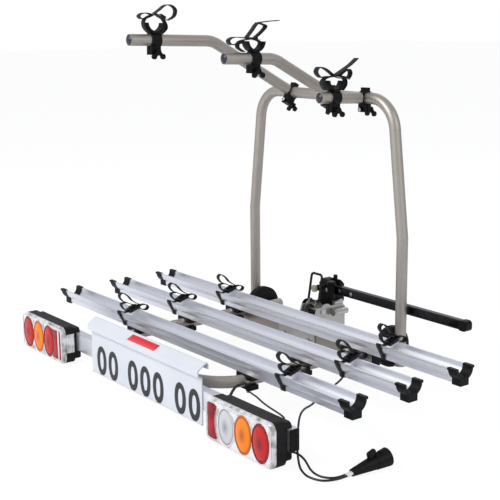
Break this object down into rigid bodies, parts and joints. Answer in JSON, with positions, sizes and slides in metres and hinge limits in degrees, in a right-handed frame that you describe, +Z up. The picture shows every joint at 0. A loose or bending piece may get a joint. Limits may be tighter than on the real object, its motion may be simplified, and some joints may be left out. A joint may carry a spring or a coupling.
{
  "type": "towbar bike rack",
  "caption": "Tow ball bike rack with wheel rails on a bent tube frame, a folding hoop with clamping arms, straps, a number plate holder, lamps, a clamping lever and a lead with a plug.",
  "frame": {"origin": "middle of the box around the rack without its lead and plug, at the height of the floor it stands on", "axes": "+X along the wheel rails to the lead side, +Y towards the car, +Z up"},
  "size_m": [1.3733, 0.714, 0.9616],
  "materials": {
    "tube": "satin champagne anodised tube",
    "bar": "satin extruded bar",
    "rail": "bright satin extrusion",
    "plate": "pale silver sheet",
    "bracket": "beige grey coated steel",
    "cup": "cast, coated",
    "zinc": "zinc plated",
    "black_plastic": "fine grain black",
    "black_steel": "black coated steel",
    "knob": "beige and black",
    "tube_plug": "dark blue black",
    "webbing": "black woven webbing",
    "buckle": "black cam buckle",
    "red_lens": "clear red lens",
    "amber_lens": "clear amber lens",
    "clear_lens": "clear lens",
    "cable": "black cable sheath"
  },
  "bodies": {
    "rack": {"base_frame": "tube", "hoop_pivot_plates": "black_plastic", "cross_beam": "tube", "bar_end_caps": "black_plastic", "beam_plate": "bracket", "frame_bolts": "zinc", "rail_1": "rail", "rail_2": "rail", "rail_3": "rail", "rail_end_caps": "black_plastic", "rail_saddles": "black_plastic", "rail_bolts": "zinc", "wheel_straps": "webbing", "wheel_buckles": "buckle", "light_bar": "bar", "number_plate_holder": "plate", "lamp_housing_left": "black_plastic", "lamp_housing_right": "black_plastic", "lamp_reflectors": "red_lens", "lamp_red_lenses": "red_lens", "lamp_amber_lenses": "amber_lens", "lamp_clear_lenses": "clear_lens", "lamp_covers": "clear_lens", "coupling_frame": "bracket", "ball_cup": "cup", "latch_body": "black_plastic", "coupling_pins": "zinc", "left_lamp_lead": "cable", "right_lamp_lead": "cable", "jumper_leads": "cable", "plug": "black_plastic"},
    "hoop_frame": {"hoop": "tube"},
    "long_arm": {"arm_1": "tube", "arm_plug_1": "tube_plug", "arm_clamp_1": "black_plastic"},
    "middle_arm": {"arm_2": "tube", "arm_plug_2": "tube_plug", "arm_clamp_2": "black_plastic"},
    "short_arm": {"arm_3": "tube", "arm_plug_3": "tube_plug", "arm_clamp_3": "black_plastic"},
    "long_arm_wing": {"arm_wing_1": "black_plastic"},
    "middle_arm_wing": {"arm_wing_2": "black_plastic"},
    "short_arm_wing": {"arm_wing_3": "black_plastic"},
    "holder_a": {"bike_holder_1": "black_plastic", "holder_strap_1": "webbing"},
    "holder_b": {"bike_holder_2": "black_plastic", "holder_strap_2": "webbing"},
    "holder_c": {"bike_holder_3": "black_plastic", "holder_strap_3": "webbing"},
    "holder_a_wing": {"holder_wing_1": "black_plastic"},
    "holder_b_wing": {"holder_wing_2": "black_plastic"},
    "holder_c_wing": {"holder_wing_3": "black_plastic"},
    "lever": {"coupling_lever": "black_steel", "lever_end_grip": "black_plastic"},
    "jaw": {"coupling_jaw": "cup"},
    "bail_loop": {"bail": "black_steel"},
    "release_plunger": {"plunger": "black_plastic"},
    "knob": {"adjuster_knob": "knob", "adjuster_ball": "black_plastic"}
  },
  "joints": [
    {"name": "hoop_fold", "type": "hinge", "parent": "rack", "child": "hoop_frame", "pos_m": [0, 0.297, 0.079], "axis": [1, 0, 0], "range_deg": [0, 30]},
    {"name": "long_arm_turn", "type": "hinge", "parent": "hoop_frame", "child": "long_arm", "pos_m": [-0.137, 0.297, 0.732], "axis": [-1, 0, 0], "range_deg": [0, 60]},
    {"name": "long_arm_wing_turn", "type": "hinge", "parent": "long_arm", "child": "long_arm_wing", "pos_m": [-0.137, 0.28268, 0.70564], "axis": [0, 0.8787, -0.4774], "continuous": true},
    {"name": "holder_a_turn", "type": "hinge", "parent": "long_arm", "child": "holder_a", "pos_m": [-0.137, -0.16104, 0.88703], "axis": [0, 0.9995, -0.0318], "range_deg": [-30, 30]},
    {"name": "holder_a_wing_turn", "type": "hinge", "parent": "holder_a", "child": "holder_a_wing", "pos_m": [-0.137, -0.16199, 0.85705], "axis": [1, 0, 0], "continuous": true},
    {"name": "middle_arm_turn", "type": "hinge", "parent": "hoop_frame", "child": "middle_arm", "pos_m": [0.03, 0.297, 0.732], "axis": [-1, 0, 0], "range_deg": [0, 60]},
    {"name": "middle_arm_wing_turn", "type": "hinge", "parent": "middle_arm", "child": "middle_arm_wing", "pos_m": [0.03, 0.28299, 0.70547], "axis": [0, 0.8843, -0.4669], "continuous": true},
    {"name": "holder_b_turn", "type": "hinge", "parent": "middle_arm", "child": "holder_b", "pos_m": [0.03, 0.03194, 0.83849], "axis": [0, 0.9993, -0.0365], "range_deg": [-30, 30]},
    {"name": "holder_b_wing_turn", "type": "hinge", "parent": "holder_b", "child": "holder_b_wing", "pos_m": [0.03, 0.03084, 0.80851], "axis": [1, 0, 0], "continuous": true},
    {"name": "short_arm_turn", "type": "hinge", "parent": "hoop_frame", "child": "short_arm", "pos_m": [0.165, 0.297, 0.732], "axis": [-1, 0, 0], "range_deg": [0, 60]},
    {"name": "short_arm_wing_turn", "type": "hinge", "parent": "short_arm", "child": "short_arm_wing", "pos_m": [0.165, 0.29541, 0.70204], "axis": [0, 0.9986, -0.0529], "continuous": true},
    {"name": "holder_c_turn", "type": "hinge", "parent": "short_arm", "child": "holder_c", "pos_m": [0.165, 0.18593, 0.73789], "axis": [0, 0.9986, -0.0529], "range_deg": [-30, 30]},
    {"name": "holder_c_wing_turn", "type": "hinge", "parent": "holder_c", "child": "holder_c_wing", "pos_m": [0.165, 0.18435, 0.70793], "axis": [1, 0, 0], "continuous": true},
    {"name": "lever_swing", "type": "hinge", "parent": "rack", "child": "lever", "pos_m": [0.012, 0.321, 0.18], "axis": [0, -1, 0], "range_deg": [0, 90]},
    {"name": "jaw_swing", "type": "hinge", "parent": "rack", "child": "jaw", "pos_m": [0, 0.268, 0.127], "axis": [-1, 0, 0], "range_deg": [0, 14.4]},
    {"name": "bail_swing", "type": "hinge", "parent": "jaw", "child": "bail_loop", "pos_m": [0, 0.263, 0.153], "axis": [1, 0, 0], "range_deg": [0, 75]},
    {"name": "plunger_press", "type": "slide", "parent": "rack", "child": "release_plunger", "axis": [0, 0, -1], "range_m": [0, 0.006], "stiffness_N_per_m": 400},
    {"name": "knob_turn", "type": "hinge", "parent": "rack", "child": "knob", "pos_m": [0, 0.273, 0.188], "axis": [0, 1, 0], "continuous": true}
  ],
  "couplings": [
    {"joint": "jaw_swing", "follows": "lever_swing", "ratio": 0.16}
  ]
}
